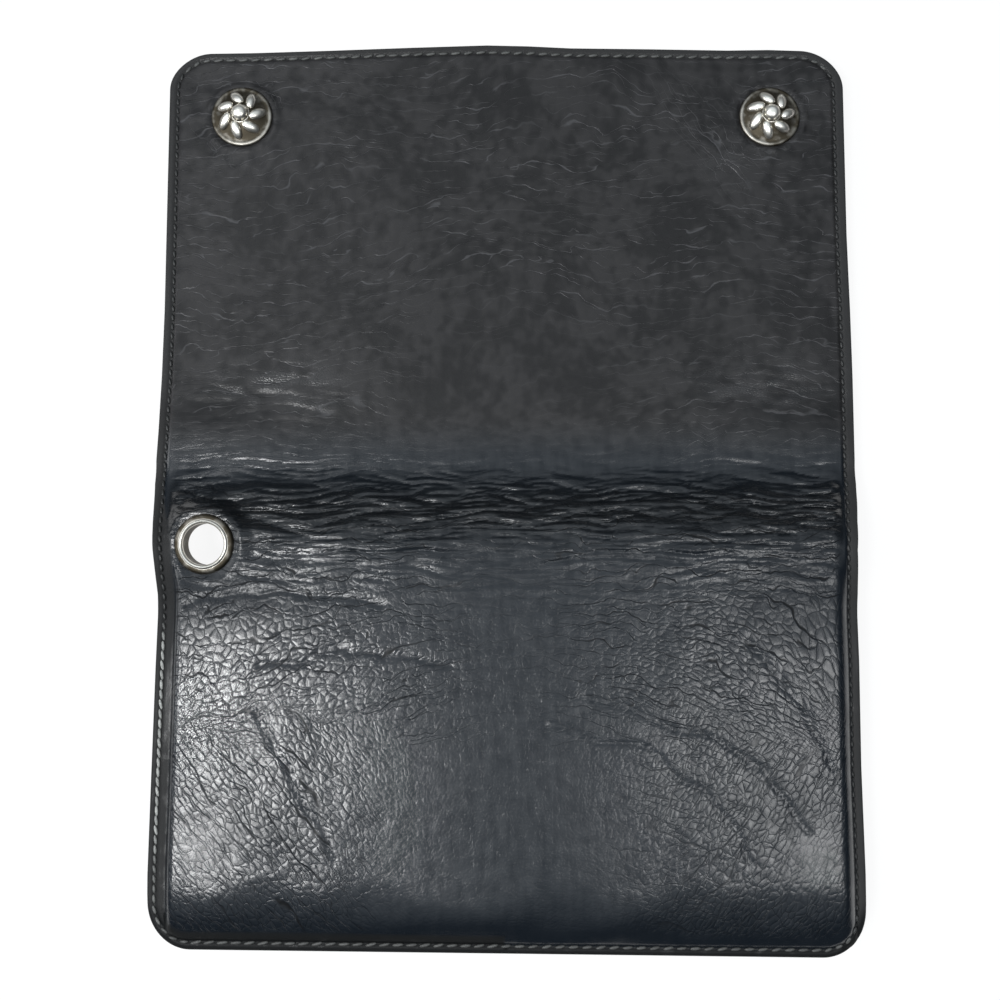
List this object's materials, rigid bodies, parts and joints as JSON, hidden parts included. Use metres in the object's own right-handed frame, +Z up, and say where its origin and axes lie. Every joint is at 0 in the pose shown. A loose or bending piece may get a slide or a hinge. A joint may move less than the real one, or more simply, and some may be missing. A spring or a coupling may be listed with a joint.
{
  "type": "chain wallet",
  "caption": "Black leather long wallet lying open outside up, with two silver snaps, a fold, a chain grommet, bill, coin and card pockets.",
  "frame": {"origin": "middle of the open wallet's box, on the surface that it lies on", "axes": "+X along the fold to the right, +Y from the pocket half to the flap, +Z up from the table"},
  "size_m": [0.176, 0.23, 0.0147],
  "materials": {
    "outer_leather": "worn glossy grain",
    "lining_leather": "matte",
    "pocket_leather": "satin",
    "zip_tape": "woven",
    "zip_metal": "aged",
    "aged_silver": "oxidised in the recesses"
  },
  "bodies": {
    "wallet_body": {"back_panel": "outer_leather", "back_lining": "lining_leather", "grommet_band": "outer_leather", "band_lining": "lining_leather", "front_panel": "outer_leather", "coin_gusset": "pocket_leather", "coin_back_panel": "pocket_leather", "card_slot_1": "pocket_leather", "card_slot_2": "pocket_leather", "card_slot_3": "pocket_leather", "zip_tape_front": "zip_tape", "zip_tape_back": "zip_tape", "zip_teeth_front": "zip_metal", "zip_teeth_back": "zip_metal", "zip_end_stops": "zip_metal", "stud_left": "aged_silver", "stud_right": "aged_silver", "stud_post_left": "aged_silver", "stud_post_right": "aged_silver", "grommet_eyelet": "aged_silver", "grommet_washer": "aged_silver", "fold_leather": "outer_leather", "fold_lining": "lining_leather"},
    "zip_slider": {"zip_slider": "zip_metal"},
    "zip_pull": {"zip_pull": "zip_metal"},
    "flap": {"flap_panel": "outer_leather", "flap_lining": "lining_leather", "cap_left": "aged_silver", "cap_right": "aged_silver", "socket_left": "aged_silver", "socket_right": "aged_silver", "socket_spring_left": "aged_silver", "socket_spring_right": "aged_silver"}
  },
  "joints": [
    {"name": "flap_fold", "type": "hinge", "parent": "wallet_body", "child": "flap", "pos_m": [0, -0.0008, 0.00075], "axis": [-1, 0, 0], "range_deg": [-60, 180], "deforming": ["fold_leather", "fold_lining"]},
    {"name": "zip_slide", "type": "slide", "parent": "wallet_body", "child": "zip_slider", "axis": [-1, 0, 0], "range_m": [0, 0.108]},
    {"name": "pull_swing", "type": "hinge", "parent": "zip_slider", "child": "zip_pull", "pos_m": [0.054, -0.0206, 0.0045], "axis": [0, 0, -1], "range_deg": [0, 170]}
  ]
}
